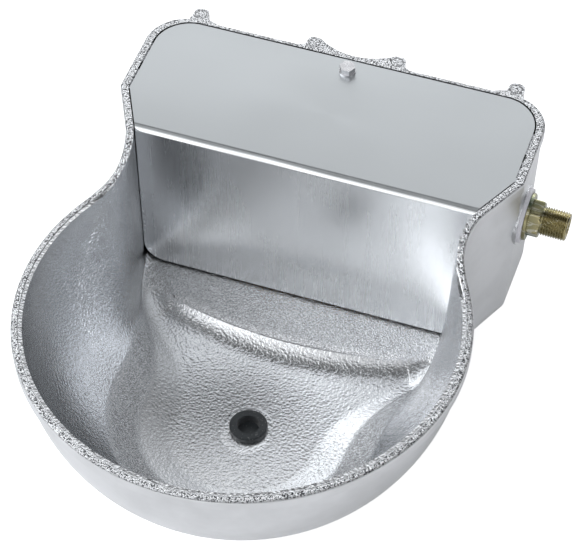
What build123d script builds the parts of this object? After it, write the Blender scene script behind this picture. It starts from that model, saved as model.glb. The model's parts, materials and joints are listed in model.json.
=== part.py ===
from build123d import *
from math import cos, degrees, radians, sin, sqrt, tan
import os

# Wall-mounted livestock drinking bowl with a float valve in a covered tank.
# Origin: on the wall plane, midway between the two wall bolts. +X is the inlet
# side, +Y points into the wall, +Z is up. Millimetres.

# ---- driving dimensions: bowl and tank casting ----
WALL = 5.0                # casting wall
REAR_WALL = 3.2           # flat rear wall of the tank
FLOOR_WALL = 6.0          # bowl floor thickness
BOWL_RADIUS = 144.5       # inside radius of the bowl at its rim
BOWL_CENTRE_Y = -243.5    # bowl centre, in front of the wall plane
BOWL_RIM_Z = -3.0
BOWL_FLOOR_Z = -130.0     # inside floor of the bowl
BOWL_SAG = 136.0          # depth at which the bowl's round flank would close
BEND_Y = -124.0           # front of the tank, where the cover bends down
TANK_RIM_Z = 20.0         # rim height at the front of the tank
TANK_SLOPE = 2.4          # degrees, the tank rim rises towards the wall
TANK_REAR_Y = -14.5       # inside of the rear wall at the rim
TANK_SHOULDER = 34.6      # length of the widening behind the neck
TANK_CORNER = 27.0        # inside radius of the rear corners
NECK_IN = 26.0            # the neck's narrowest place is this much inside the bowl
NECK_BACK = 25.0          # and this far before the bend
NECK_FLARE = 5.2          # the neck widens by this up to the bend
SHOULDER_OUT = 17.6       # and by this along the shoulder
NECK_HALF = BOWL_RADIUS - NECK_IN            # inside half widths at the rim
NECK_FRONT_HALF = NECK_HALF + NECK_FLARE
TANK_HALF_WIDTH = NECK_FRONT_HALF + SHOULDER_OUT
NECK_TURN = 25.7          # degrees that the rim arc runs on past its widest place
DRAFT = 2.0               # degrees, side walls of the tank
FOOT_RADIUS = 15.0        # inside fillet between the bowl's flank and its floor
TANK_FOOT_RADIUS = 13.0   # and between the tank's walls and its floor
SHELF_Z = -114.0          # floor of the tank
LEDGE_REACH = 41.0        # how far the tank floor runs out under the cover
LEDGE_IN = 13.5
LEDGE_HALF = NECK_HALF - LEDGE_IN            # half width of the ledge
LEDGE_BOW = 317.0         # plan radius of its front edge
LEDGE_CORNER = 25.0
LEDGE_ROUND = 5.0
RIM_RISE = 60.0           # length of the step between bowl rim and tank rim
BEAD_OVERHANG = 2.6       # the bowl rim stands out past the wall
TANK_BEAD_SHARE = 0.45    # of that overhang, at the sides of the tank
REAR_BEAD_SHARE = 0.12    # and along its rear
BEAD_DEPTH = 8.0
BEAD_ROUND = 1.8

# ---- driving dimensions: rear of the casting ----
WALL_BOLT_SPACING = 236.0
WALL_BOLT_HOLE = 9.0
RIB_WIDTH = 11.4
RIB_SPREAD = 8.0          # the ribs widen by this towards the tank, on the inner side
RIB_SPREAD_OUT = 3.0      # and by this on the outer side
RIB_ROUND = 4.2
RIB_NECK = 8.5            # straight part of a rib, from the wall plane
RIB_HOLLOW = 3.5          # hollow fillet where a rib meets the tank
RIB_FOOT_Z = -92.0
BOLT_BOSS_DIAMETER = 20.0
CLAMP_SPACING = 62.0      # legs of a U-bolt round an upright pipe
CLAMP_HOLE = 9.0
SADDLE_Y = -1.4           # crests of the pipe saddle
SADDLE_DEPTH = 9.5

# ---- driving dimensions: cover ----
COVER_GAP = 1.1           # cover to rim, at the front and sides
COVER_REAR_GAP = 0.7      # cover to rim, along the rear
COVER_SHEET = 1.5
COVER_BEND = 4.5          # outside radius of the bend
COVER_SINK = 0.4          # top of the cover below the rim
DEFLECTOR_FOOT = 2.0      # gap between the deflector and the ledge
DEFLECTOR_TAPER = 1.7     # the deflector narrows by this towards its foot
DEFLECTOR_CORNER = 15.0
REST_LENGTH = 20.0        # cast rests under the cover
REST_WIDTH = 5.0
REST_DEPTH = 9.0
BOLT_BACK = 26.0          # cover bolt, from the wall plane
BOLT_SIZE = 6.0
BOLT_CLEARANCE = 0.8      # cover hole, over the bolt
BOLT_HEAD_FLATS = 10.0
BOLT_HEAD = 4.0
BOLT_SHANK = 15.0
BOLT_LUG = 16.0
BOLT_LUG_DEPTH = 12.0
COVER_WASHER_DIAMETER = 12.0
COVER_WASHER_THICKNESS = 1.0

# ---- driving dimensions: inlet ----
INLET_Y = -71.5
INLET_Z = -27.8
PAD_DIAMETER = 43.0
PAD_RISE = 1.2
INLET_HOLE = 21.6
THREAD_DIAMETER = 20.955  # G 1/2
THREAD_FIT = 0.05
INLET_BORE = 13.0
OUTER_WASHER_DIAMETER = 39.5
OUTER_WASHER_THICKNESS = 2.5
FLANGE_DIAMETER = 34.0
FLANGE_THICKNESS = 2.5
INLET_HEX_FLATS = 24.0
INLET_HEX_LENGTH = 8.0
THREAD_LENGTH = 19.0
THREAD_CHAMFER = 1.5
INNER_WASHER_DIAMETER = 34.0
INNER_WASHER_THICKNESS = 2.5
LOCK_NUT_FLATS = 30.0
LOCK_NUT_THICKNESS = 6.0
STRAINER_LENGTH = 22.0
STRAINER_WALL = 0.8

# ---- driving dimensions: float valve ----
SOCKET_DIAMETER = 30.0
SOCKET_LENGTH = 13.0
SHANK_IN_SOCKET = 9.0
BARREL_DIAMETER = 21.0
END_WALL = 2.5            # shoulder between socket and barrel
BARREL_LENGTH = 40.5
PISTON_DIAMETER = 14.0
RUNNING_FIT = 0.06
NOZZLE_PLATE = 4.0
NOZZLE_DIAMETER = 7.0
NOZZLE_LENGTH = 6.0
NOZZLE_BORE = 4.0
OUTLET_DIAMETER = 6.4
SEAL_DIAMETER = 10.0
SEAL_THICKNESS = 2.5
SEAL_PROUD = 0.8
PISTON_LENGTH = 24.0
LEVER_RATIO = 11.0        # lever pin to the point that moves the piston
SWING = 25.0              # degrees of float travel
SLOT_PLAY = 0.35
PIN_DIAMETER = 4.0
PIN_DROP = 13.0           # lever pin below the piston axis
PIN_BACK = 18.7           # lever pin, from the open end of the barrel
PIN_ROOM = 5.0            # bearing radius around the pin
CHEEK_THICKNESS = 4.0
LEVER_WIDTH = 7.6
SIDE_PLAY = 0.3
FINGER_RADIUS = 2.4
FINGER_NECK = 3.0
ARM_LENGTH = 104.0
ARM_DEPTH = 7.5
ARM_TIP_DEPTH = 6.0
ARM_EYE_DIAMETER = 12.0
SPLIT_PIN_DIAMETER = 1.2
ROD_DIAMETER = 5.0
ROD_IN_FLOAT = 14.0
NUT_FLATS = 8.0
NUT_THICKNESS = 4.0
FLOAT_LENGTH = 84.0
FLOAT_WIDTH = 78.0
FLOAT_HEIGHT = 32.0
FLOAT_ROUND = 9.0
FLOAT_NECK_DIAMETER = 16.0
FLOAT_NECK_HEIGHT = 3.0

# ---- driving dimensions: drain ----
DRAIN_Y = -236.0
DRAIN_HOLE = 22.0
DRAIN_FACE_DIAMETER = 34.5
DRAIN_FACE_DEPTH = 0.8
PLUG_FLANGE_DIAMETER = 27.0
PLUG_FLANGE_THICKNESS = 3.5
PLUG_PLAY = 0.3
PLUG_SOCKET_DIAMETER = 16.0
PLUG_SOCKET_DEPTH = 7.0
PLUG_ROUND = 1.0

os.makedirs("parts", exist_ok=True)

REACH = 500.0             # longer than anything, for cutting shapes
SHOULDER_Y = BEND_Y + TANK_SHOULDER
SLOPE = tan(radians(TANK_SLOPE))
DRAFT_SLOPE = tan(radians(DRAFT))


def level_plan(height, grow, bead=0.0):
    """Plan of the cavity at one height, grown outwards by a wall and a bead."""
    drop = max(0.0, BOWL_RIM_Z - height)
    share = sqrt(1 - (drop / (BOWL_SAG + grow)) ** 2)
    radius = (BOWL_RADIUS + grow + bead) * share
    inset = DRAFT_SLOPE * (TANK_RIM_Z - height)
    neck = NECK_HALF + grow + bead / 2 - inset
    lip = bead * TANK_BEAD_SHARE
    rear_lip = bead * REAR_BEAD_SHARE
    front = NECK_FRONT_HALF + grow + lip - inset / 2
    side = TANK_HALF_WIDTH + grow + lip - inset
    rear = TANK_REAR_Y + grow * REAR_WALL / WALL + rear_lip - inset / 2
    corner = TANK_CORNER + grow / 2
    turn = radians(NECK_TURN) * share ** 8
    leave = (radius * cos(turn), BOWL_CENTRE_Y + radius * sin(turn))
    with BuildSketch(Plane.XY.offset(height)) as plan:
        with BuildLine():
            CenterArc((0, BOWL_CENTRE_Y), radius, -90, 90 + degrees(turn))
            Spline(leave, (neck, BEND_Y - NECK_BACK), (front, BEND_Y),
                   tangents=[(-sin(turn), cos(turn)), (side - front, TANK_SHOULDER)])
            Line((front, BEND_Y), (side, SHOULDER_Y))
            Line((side, SHOULDER_Y), (side, rear - corner))
            RadiusArc((side, rear - corner), (side - corner, rear), -corner)
            Line((side - corner, rear), (0, rear))
            mirror(about=Plane.YZ)
        make_face()
    return plan.sketch


def tub(floor, grow, foot, bead=0.0):
    """Filled shape of bowl and tank down to one floor, with a round foot."""
    depth = BOWL_RIM_Z - floor
    levels = [TANK_RIM_Z + 2 * BEAD_DEPTH, BOWL_RIM_Z]
    levels += [BOWL_RIM_Z - depth * share for share in (0.3, 0.57, 0.77, 0.91, 1)]
    with BuildPart() as filled:
        loft([level_plan(level, grow, bead) for level in levels])
        if foot > 0:
            fillet(filled.faces().sort_by(Axis.Z)[0].edges(), foot)
    return filled.part


def behind_ledge(grow, top, edge_round=0.0):
    """Block behind the ledge, from below everything up to the tank floor."""
    nose = BEND_Y - LEDGE_REACH + grow
    half = LEDGE_HALF - LEDGE_CORNER - grow
    turn_y = nose + LEDGE_BOW - sqrt(LEDGE_BOW ** 2 - half ** 2)
    wide = TANK_HALF_WIDTH + 2 * WALL
    side_y = BEND_Y + grow
    bottom = BOWL_FLOOR_Z - 2 * FLOOR_WALL
    with BuildPart() as block:
        with BuildSketch(Plane.XY.offset(bottom)):
            with BuildLine():
                ThreePointArc((0, nose), (half / 2, nose + LEDGE_BOW - sqrt(LEDGE_BOW ** 2 - half ** 2 / 4)),
                              (half, turn_y))
                Spline((half, turn_y), (LEDGE_HALF - grow, side_y - LEDGE_CORNER / 2), (wide, side_y),
                       tangents=[(LEDGE_BOW, half), (1, 0)])
                Polyline((wide, side_y), (wide, WALL), (0, WALL))
                mirror(about=Plane.YZ)
            make_face()
        extrude(amount=top - bottom)
        if edge_round > 0:
            front = block.edges().filter_by_position(Axis.Z, top - 0.1, top + 0.1)
            fillet(front.filter_by(lambda e: e.center().Y < side_y + 1), edge_round)
    return block.part


def above_rim(lower):
    """Everything above the rim, or above a line `lower` below it."""
    rise_y = BEND_Y - RIM_RISE
    low = BOWL_RIM_Z - lower
    high = TANK_RIM_Z - lower
    far = high + (REACH - BEND_Y) * SLOPE
    with BuildPart() as space:
        with BuildSketch(Plane.YZ):
            with BuildLine():
                Line((-REACH, low), (rise_y, low))
                Spline((rise_y, low), (BEND_Y, high), tangents=[(1, 0), (1, SLOPE)])
                Line((BEND_Y, high), (REACH, far))
                Polyline((REACH, far), (REACH, REACH), (-REACH, REACH), (-REACH, low))
            make_face()
        extrude(amount=REACH, both=True)
    return space.part


def write(built, label):
    """Label one finished piece and write its STEP file."""
    built.part.label = label
    export_step(built.part, f"parts/{label}.step")


# Plane of the cover's top: its x runs along the bend, its y up the slope.
cover_top = Plane(origin=(0, BEND_Y, TANK_RIM_Z - COVER_SINK), x_dir=(1, 0, 0),
                  z_dir=(0, -sin(radians(TANK_SLOPE)), cos(radians(TANK_SLOPE))))
cover_bolt_up = (-BEND_Y - BOLT_BACK) / cos(radians(TANK_SLOPE))

# Inlet axis: normal to the drafted side wall, from the face of the pad.
INLET_FACE_X = TANK_HALF_WIDTH + WALL - DRAFT_SLOPE * (TANK_RIM_Z - INLET_Z) + PAD_RISE
outward = Vector(cos(radians(DRAFT)), 0, -sin(radians(DRAFT)))
inlet = Plane(origin=(INLET_FACE_X, INLET_Y, INLET_Z), x_dir=(0, 1, 0), z_dir=outward)
# Section plane through the same axis: x outwards along it, y up.
valve_side = Plane(origin=inlet.origin, x_dir=outward, z_dir=(0, -1, 0))
inlet_line = Axis(inlet.origin, outward)
INNER_FACE = -(WALL + PAD_RISE)

# ---- casting: bowl and tank in one, open towards the front ----
def on_ledge(edge):
    """True for an edge along the front of the ledge."""
    return -LEDGE_REACH - 1 < edge.center().Y - BEND_Y < LEDGE_ROUND - LEDGE_CORNER / 2


with BuildPart() as cavity:
    add(tub(BOWL_FLOOR_Z, 0, 0))
    add(behind_ledge(0, SHELF_Z, LEDGE_ROUND), mode=Mode.SUBTRACT)
    for floor_z, foot in ((BOWL_FLOOR_Z, FOOT_RADIUS), (SHELF_Z, TANK_FOOT_RADIUS)):
        floor_face = cavity.faces().filter_by(Plane.XY).filter_by_position(Axis.Z, floor_z - 1, floor_z + 1)
        fillet(floor_face.edges().filter_by(lambda e: not on_ledge(e)), foot)
shell_foot = FOOT_RADIUS + WALL
shell_shelf = SHELF_Z - WALL
under_tank = behind_ledge(WALL, shell_shelf + shell_foot) - tub(shell_shelf, WALL, shell_foot)

with BuildPart() as rim_band:
    add(tub(BOWL_RIM_Z - 2 * BEAD_DEPTH, WALL, 0, BEAD_OVERHANG))
    add(above_rim(BEAD_DEPTH), mode=Mode.INTERSECT)
    add(above_rim(0), mode=Mode.SUBTRACT)
    crown = rim_band.faces().filter_by(lambda f: f.normal_at().Z > 0.6).edges()
    joins_y = (BEND_Y - RIM_RISE, BEND_Y)
    fillet(crown.filter_by(lambda e: abs(e.center().X) > 1 or min(abs(e.center().Y - y) for y in joins_y) > 1),
           BEAD_ROUND)

with BuildPart() as bowl_casting:
    add(tub(BOWL_FLOOR_Z - FLOOR_WALL, WALL, shell_foot))
    add(under_tank, mode=Mode.SUBTRACT)
    add(above_rim(BEAD_DEPTH), mode=Mode.SUBTRACT)
    # two wall ribs and the pipe saddle on the back
    root_y = TANK_REAR_Y - WALL
    rib_half = RIB_WIDTH / 2
    with BuildSketch(Plane.XY.offset(RIB_FOOT_Z)):
        with BuildSketch(Plane.XY.offset(RIB_FOOT_Z)) as rib:
            rib_x = WALL_BOLT_SPACING / 2
            with BuildLine():
                Polyline((rib_x - rib_half, 0), (rib_x + rib_half, 0), (rib_x + rib_half, -RIB_NECK),
                         (rib_x + rib_half + RIB_SPREAD_OUT, root_y), (rib_x - rib_half - 2 * RIB_SPREAD, root_y),
                         (rib_x - rib_half - RIB_SPREAD, TANK_REAR_Y + REAR_WALL), (rib_x - rib_half, -RIB_NECK),
                         close=True)
            make_face()
            fillet(rib.vertices().filter_by(lambda v: abs(v.Y) < 0.1), RIB_ROUND)
            fillet(rib.vertices().filter_by(lambda v: abs(v.Y + RIB_NECK) < 0.1 and v.X < rib_x), RIB_HOLLOW)
            mirror(about=Plane.YZ)
        with BuildSketch(Plane.XY.offset(RIB_FOOT_Z)) as saddle:
            crest = CLAMP_SPACING / 2 - rib_half / 2
            shoulder = CLAMP_SPACING / 2 + rib_half
            neck_y = SADDLE_Y - RIB_NECK
            with BuildLine():
                ThreePointArc((-crest, SADDLE_Y), (0, SADDLE_Y - SADDLE_DEPTH), (crest, SADDLE_Y))
                Polyline((crest, SADDLE_Y), (shoulder, SADDLE_Y), (shoulder, neck_y),
                         (shoulder + RIB_SPREAD / 2, TANK_REAR_Y + REAR_WALL), (shoulder + RIB_SPREAD, root_y),
                         (-shoulder - RIB_SPREAD, root_y), (-shoulder - RIB_SPREAD / 2, TANK_REAR_Y + REAR_WALL),
                         (-shoulder, neck_y), (-shoulder, SADDLE_Y), (-crest, SADDLE_Y))
            make_face()
            fillet(saddle.vertices().filter_by(lambda v: abs(v.Y - SADDLE_Y) < 0.1 and abs(v.X) > crest + 1),
                   RIB_ROUND)
            fillet(saddle.vertices().filter_by(lambda v: abs(v.Y - neck_y) < 0.1), RIB_HOLLOW / 2)
            fillet(saddle.vertices().filter_by(lambda v: abs(v.Y - SADDLE_Y) < 0.1 and abs(v.X) < crest + 0.1),
                   RIB_ROUND)
    extrude(amount=TANK_RIM_Z - RIB_FOOT_Z + 2 * BEAD_DEPTH)
    with BuildSketch(Plane.XZ):
        with Locations((-WALL_BOLT_SPACING / 2, 0), (WALL_BOLT_SPACING / 2, 0)):
            Circle(BOLT_BOSS_DIAMETER / 2)
    extrude(amount=-root_y)
    add(above_rim(0), mode=Mode.SUBTRACT)
    # rim bead, standing out round the bowl and dying out along the neck
    add(rim_band.part)
    # inlet pad
    with BuildSketch(inlet):
        Circle(PAD_DIAMETER / 2)
    extrude(amount=-PAD_RISE - WALL / 2)
    add(cavity.part, mode=Mode.SUBTRACT)
    # cast rests and the tapped lug that carry the cover
    rest_v = (SHOULDER_Y - BEND_Y, -BEND_Y + TANK_REAR_Y - TANK_CORNER)
    rest_x = TANK_HALF_WIDTH + (WALL - REST_WIDTH) / 2
    with BuildSketch(cover_top.offset(-COVER_SHEET)):
        with Locations(*[(side * rest_x, v + toward * REST_LENGTH / 2)
                         for side in (-1, 1) for v, toward in zip(rest_v, (1, -1))]):
            Rectangle(WALL + REST_WIDTH, REST_LENGTH)
    extrude(amount=-REST_DEPTH)
    with BuildSketch(cover_top.offset(-COVER_SHEET)):
        with Locations((0, cover_bolt_up)):
            Circle(BOLT_LUG / 2)
        with Locations((0, (cover_bolt_up - BEND_Y + TANK_REAR_Y) / 2)):
            Rectangle(BOLT_LUG, -BEND_Y + TANK_REAR_Y - cover_bolt_up + REAR_WALL)
    extrude(amount=-BOLT_LUG_DEPTH)
    # holes: wall bolts, pipe clamp, inlet, cover bolt, drain
    with BuildSketch(Plane.XZ):
        with Locations((-WALL_BOLT_SPACING / 2, 0), (WALL_BOLT_SPACING / 2, 0)):
            Circle(WALL_BOLT_HOLE / 2)
        with Locations((-CLAMP_SPACING / 2, 0), (CLAMP_SPACING / 2, 0)):
            Circle(CLAMP_HOLE / 2)
    extrude(amount=-TANK_REAR_Y + TANK_CORNER / 2, mode=Mode.SUBTRACT)
    with BuildSketch(inlet.offset(WALL)):
        Circle(INLET_HOLE / 2)
    extrude(amount=-4 * WALL, mode=Mode.SUBTRACT)
    with BuildSketch(cover_top):
        with Locations((0, cover_bolt_up)):
            Circle(BOLT_SIZE / 2 + THREAD_FIT)
    extrude(amount=-2 * BOLT_LUG_DEPTH, mode=Mode.SUBTRACT)
    with BuildSketch(Plane.XY.offset(BOWL_FLOOR_Z)):
        with Locations((0, DRAIN_Y)):
            Circle(DRAIN_FACE_DIAMETER / 2)
    extrude(amount=-DRAIN_FACE_DEPTH, mode=Mode.SUBTRACT)
    with BuildSketch(Plane.XY.offset(BOWL_FLOOR_Z)):
        with Locations((0, DRAIN_Y)):
            Circle(DRAIN_HOLE / 2)
    extrude(amount=-2 * FLOOR_WALL, mode=Mode.SUBTRACT)
write(bowl_casting, "bowl_casting")

# ---- cover: one bent sheet, flat lid and deflector ----
lid_front = NECK_FRONT_HALF - COVER_GAP
lid_side = TANK_HALF_WIDTH - COVER_GAP
lid_rear = -BEND_Y + TANK_REAR_Y - COVER_REAR_GAP
lid_corner = TANK_CORNER - COVER_GAP
lid_top_z = TANK_RIM_Z - COVER_SINK
foot_z = SHELF_Z + DEFLECTOR_FOOT
with BuildPart() as cover_sheet:
    with BuildSketch(Plane.YZ):
        with BuildLine():
            FilletPolyline((BEND_Y, foot_z), (BEND_Y, lid_top_z), (0, lid_top_z - BEND_Y * SLOPE),
                           radius=COVER_BEND)
            offset(amount=COVER_SHEET, side=Side.RIGHT)
        make_face()
    extrude(amount=lid_side, both=True)
    # outline of the lid, seen square on
    with BuildSketch(cover_top) as lid_outline:
        with BuildLine():
            Polyline((lid_front, -BEAD_DEPTH), (lid_front, 0), (lid_side, TANK_SHOULDER), (lid_side, lid_rear),
                     (-lid_side, lid_rear), (-lid_side, TANK_SHOULDER), (-lid_front, 0),
                     (-lid_front, -BEAD_DEPTH), close=True)
        make_face()
        fillet(lid_outline.vertices().filter_by(lambda v: v.Y > lid_rear - 1), lid_corner)
    extrude(amount=REACH, both=True, mode=Mode.INTERSECT)
    # outline of the deflector, seen from the front
    with BuildSketch(Plane.XZ) as deflector_outline:
        with BuildLine():
            Polyline((lid_side, lid_top_z + COVER_BEND * 3), (lid_side, lid_top_z - COVER_BEND),
                     (lid_front, lid_top_z - COVER_BEND), (lid_front - DEFLECTOR_TAPER, foot_z),
                     (-lid_front + DEFLECTOR_TAPER, foot_z), (-lid_front, lid_top_z - COVER_BEND),
                     (-lid_side, lid_top_z - COVER_BEND), (-lid_side, lid_top_z + COVER_BEND * 3), close=True)
        make_face()
        fillet(deflector_outline.vertices().filter_by(lambda v: v.Y < foot_z + 1), DEFLECTOR_CORNER)
    extrude(amount=REACH, both=True, mode=Mode.INTERSECT)
    with BuildSketch(cover_top):
        with Locations((0, cover_bolt_up)):
            Circle((BOLT_SIZE + BOLT_CLEARANCE) / 2)
    extrude(amount=COVER_SHEET, both=True, mode=Mode.SUBTRACT)
write(cover_sheet, "cover_sheet")

with BuildPart() as cover_bolt_washer:
    with BuildSketch(cover_top):
        with Locations((0, cover_bolt_up)):
            Circle(COVER_WASHER_DIAMETER / 2)
            Circle((BOLT_SIZE + BOLT_CLEARANCE) / 2, mode=Mode.SUBTRACT)
    extrude(amount=COVER_WASHER_THICKNESS)
write(cover_bolt_washer, "cover_bolt_washer")

with BuildPart() as cover_bolt:
    with BuildSketch(cover_top.offset(COVER_WASHER_THICKNESS)):
        with Locations((0, cover_bolt_up)):
            RegularPolygon(BOLT_HEAD_FLATS / 2, 6, major_radius=False)
    extrude(amount=BOLT_HEAD)
    with BuildSketch(cover_top.offset(COVER_WASHER_THICKNESS)):
        with Locations((0, cover_bolt_up)):
            Circle(BOLT_SIZE / 2)
    extrude(amount=-BOLT_SHANK)
write(cover_bolt, "cover_bolt")


def turned(outline):
    """Solid turned about the inlet axis from (distance out, radius) corners."""
    with BuildPart() as piece:
        with BuildSketch(valve_side):
            with BuildLine():
                Polyline(*outline, close=True)
            make_face()
        revolve(axis=inlet_line)
    return piece.part


def ring(start, end, inner, outer):
    """Plain ring about the inlet axis."""
    return turned([(start, inner), (end, inner), (end, outer), (start, outer)])


# ---- inlet: nipple screwed through the wall, washers and lock nut ----
thread_radius = THREAD_DIAMETER / 2
flange_start = OUTER_WASHER_THICKNESS
hex_start = flange_start + FLANGE_THICKNESS
thread_start = hex_start + INLET_HEX_LENGTH
thread_end = thread_start + THREAD_LENGTH
nut_start = INNER_FACE - INNER_WASHER_THICKNESS
socket_start = nut_start - LOCK_NUT_THICKNESS
shank_end = socket_start - SHANK_IN_SOCKET

with BuildPart() as outer_washer:
    add(ring(0, flange_start, thread_radius + THREAD_FIT, OUTER_WASHER_DIAMETER / 2))
write(outer_washer, "outer_washer")

with BuildPart() as inlet_nipple:
    add(turned([(shank_end, 0), (shank_end, thread_radius), (flange_start, thread_radius),
                (flange_start, FLANGE_DIAMETER / 2), (hex_start, FLANGE_DIAMETER / 2),
                (hex_start, thread_radius), (thread_end - THREAD_CHAMFER, thread_radius),
                (thread_end, thread_radius - THREAD_CHAMFER), (thread_end, 0)]))
    with BuildSketch(inlet.offset(hex_start)):
        RegularPolygon(INLET_HEX_FLATS / 2, 6, major_radius=False)
    extrude(amount=INLET_HEX_LENGTH)
    with BuildSketch(inlet.offset(thread_end)):
        Circle(INLET_BORE / 2)
    extrude(amount=shank_end - thread_end, mode=Mode.SUBTRACT)
write(inlet_nipple, "inlet_nipple")

with BuildPart() as inlet_strainer:
    strainer_radius = INLET_BORE / 2 - THREAD_FIT
    strainer_end = thread_end - THREAD_CHAMFER
    add(turned([(strainer_end, strainer_radius - STRAINER_WALL), (strainer_end, strainer_radius),
                (strainer_end - STRAINER_WALL * 2, strainer_radius),
                (strainer_end - STRAINER_LENGTH, strainer_radius * 0.7),
                (strainer_end - STRAINER_LENGTH, 0), (strainer_end - STRAINER_LENGTH + STRAINER_WALL, 0),
                (strainer_end - STRAINER_LENGTH + STRAINER_WALL, strainer_radius * 0.7 - STRAINER_WALL),
                (strainer_end - STRAINER_WALL * 2, strainer_radius - STRAINER_WALL)]))
write(inlet_strainer, "inlet_strainer")

with BuildPart() as inner_washer:
    add(ring(nut_start, INNER_FACE, thread_radius + THREAD_FIT, INNER_WASHER_DIAMETER / 2))
write(inner_washer, "inner_washer")

with BuildPart() as lock_nut:
    with BuildSketch(inlet.offset(socket_start)):
        RegularPolygon(LOCK_NUT_FLATS / 2, 6, major_radius=False)
        Circle(thread_radius + THREAD_FIT, mode=Mode.SUBTRACT)
    extrude(amount=LOCK_NUT_THICKNESS)
write(lock_nut, "lock_nut")

# ---- float valve body: socket, barrel open below, two cheeks for the lever pin ----
bore_radius = PISTON_DIAMETER / 2 + RUNNING_FIT
barrel_start = socket_start - SOCKET_LENGTH
barrel_end = barrel_start - BARREL_LENGTH
pin_out = barrel_end + PIN_BACK
slot_half = LEVER_WIDTH / 2 + SIDE_PLAY
nozzle_tip = barrel_start - NOZZLE_LENGTH
stroke = LEVER_RATIO * radians(SWING)

with BuildPart() as valve_body:
    shoulder_end = barrel_start - END_WALL
    slot_end = pin_out + PIN_ROOM + CHEEK_THICKNESS
    add(turned([(barrel_end, 0), (barrel_end, BARREL_DIAMETER / 2), (shoulder_end, BARREL_DIAMETER / 2),
                (shoulder_end, SOCKET_DIAMETER / 2), (socket_start, SOCKET_DIAMETER / 2), (socket_start, 0)]))
    with BuildSketch(valve_side) as cheek:
        with Locations((pin_out, -PIN_DROP)):
            Circle(PIN_ROOM + 1)
        with Locations((pin_out, -(PIN_DROP + bore_radius + 0.5) / 2)):
            Rectangle(2 * PIN_ROOM + 2, PIN_DROP - bore_radius - 0.5)
    extrude(amount=slot_half + CHEEK_THICKNESS, both=True)
    with BuildSketch(valve_side):
        with Locations(((barrel_end + slot_end) / 2, -REACH / 2)):
            Rectangle(slot_end - barrel_end, REACH)
    extrude(amount=slot_half, both=True, mode=Mode.SUBTRACT)
    add(turned([(barrel_end, 0), (barrel_end, bore_radius), (barrel_start, bore_radius),
                (barrel_start, thread_radius + THREAD_FIT), (socket_start, thread_radius + THREAD_FIT),
                (socket_start, 0)]), mode=Mode.SUBTRACT)
    # outlets beside the nozzle, and the pin hole
    with BuildSketch(valve_side):
        with Locations((nozzle_tip, 0)):
            Circle(OUTLET_DIAMETER / 2)
        with Locations((pin_out, -PIN_DROP)):
            Circle(PIN_DIAMETER / 2 + THREAD_FIT)
    extrude(amount=SOCKET_DIAMETER, both=True, mode=Mode.SUBTRACT)
write(valve_body, "valve_body")

with BuildPart() as valve_seat:
    seat_end = barrel_start + NOZZLE_PLATE
    add(turned([(nozzle_tip, NOZZLE_BORE / 2), (nozzle_tip, NOZZLE_DIAMETER / 2),
                (barrel_start, NOZZLE_DIAMETER / 2), (barrel_start, thread_radius - THREAD_FIT),
                (seat_end, thread_radius - THREAD_FIT), (seat_end, NOZZLE_BORE / 2)]))
write(valve_seat, "valve_seat")

seal_face = nozzle_tip - THREAD_FIT - stroke
piston_front = seal_face - SEAL_PROUD
seal_back = seal_face - SEAL_THICKNESS
finger_rest = pin_out - stroke / 2
with BuildPart() as piston_seal:
    add(ring(seal_back, seal_face, 0, SEAL_DIAMETER / 2))
write(piston_seal, "piston_seal")

with BuildPart() as valve_piston:
    add(turned([(piston_front - PISTON_LENGTH, 0), (piston_front - PISTON_LENGTH, PISTON_DIAMETER / 2),
                (piston_front, PISTON_DIAMETER / 2), (piston_front, SEAL_DIAMETER / 2 + THREAD_FIT),
                (seal_back, SEAL_DIAMETER / 2 + THREAD_FIT), (seal_back, 0)]))
    # pocket for the lever finger
    pocket_top = LEVER_RATIO - PIN_DROP + FINGER_RADIUS + SLOT_PLAY
    with BuildSketch(valve_side):
        with Locations((finger_rest, (pocket_top - PISTON_DIAMETER) / 2)):
            Rectangle(2 * (FINGER_RADIUS + SLOT_PLAY), pocket_top + PISTON_DIAMETER)
    extrude(amount=slot_half, both=True, mode=Mode.SUBTRACT)
write(valve_piston, "valve_piston")

# ---- lever: finger up into the piston, arm out to the float ----
lever_angle = radians(SWING / 2 - DRAFT)
pin_point = valve_side.from_local_coords((pin_out, -PIN_DROP, 0))
arm_way = Vector(-cos(lever_angle), 0, -sin(lever_angle))
lever_side = Plane(origin=pin_point, x_dir=arm_way, z_dir=(0, 1, 0))
rod_point = lever_side.from_local_coords((ARM_LENGTH, 0, 0))
rod = Plane(origin=rod_point, x_dir=arm_way, z_dir=lever_side.y_dir)
arm_top = ARM_DEPTH / 15
eye_bottom = -arm_top - ARM_DEPTH
eye_height = ARM_DEPTH + 2

with BuildPart() as lever_arm:
    with BuildSketch(lever_side):
        Circle(PIN_ROOM)
        with Locations((0, LEVER_RATIO / 2)):
            Rectangle(FINGER_NECK, LEVER_RATIO)
        with Locations((0, LEVER_RATIO)):
            Circle(FINGER_RADIUS)
        with BuildLine():
            Polyline((0, arm_top), (ARM_LENGTH, -arm_top), (ARM_LENGTH, -arm_top - ARM_TIP_DEPTH),
                     (2 * PIN_ROOM, arm_top - ARM_DEPTH), (0, -PIN_ROOM), close=True)
        make_face()
    extrude(amount=LEVER_WIDTH / 2, both=True)
    with BuildSketch(rod.offset(eye_bottom)):
        Circle(ARM_EYE_DIAMETER / 2)
    extrude(amount=eye_height)
    with BuildSketch(rod.offset(-REACH / 10)):
        Circle(ROD_DIAMETER / 2 + THREAD_FIT)
    extrude(amount=REACH / 5, mode=Mode.SUBTRACT)
    with BuildSketch(lever_side):
        Circle(PIN_DIAMETER / 2 + THREAD_FIT)
    extrude(amount=LEVER_WIDTH, both=True, mode=Mode.SUBTRACT)
write(lever_arm, "lever_arm")

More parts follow.
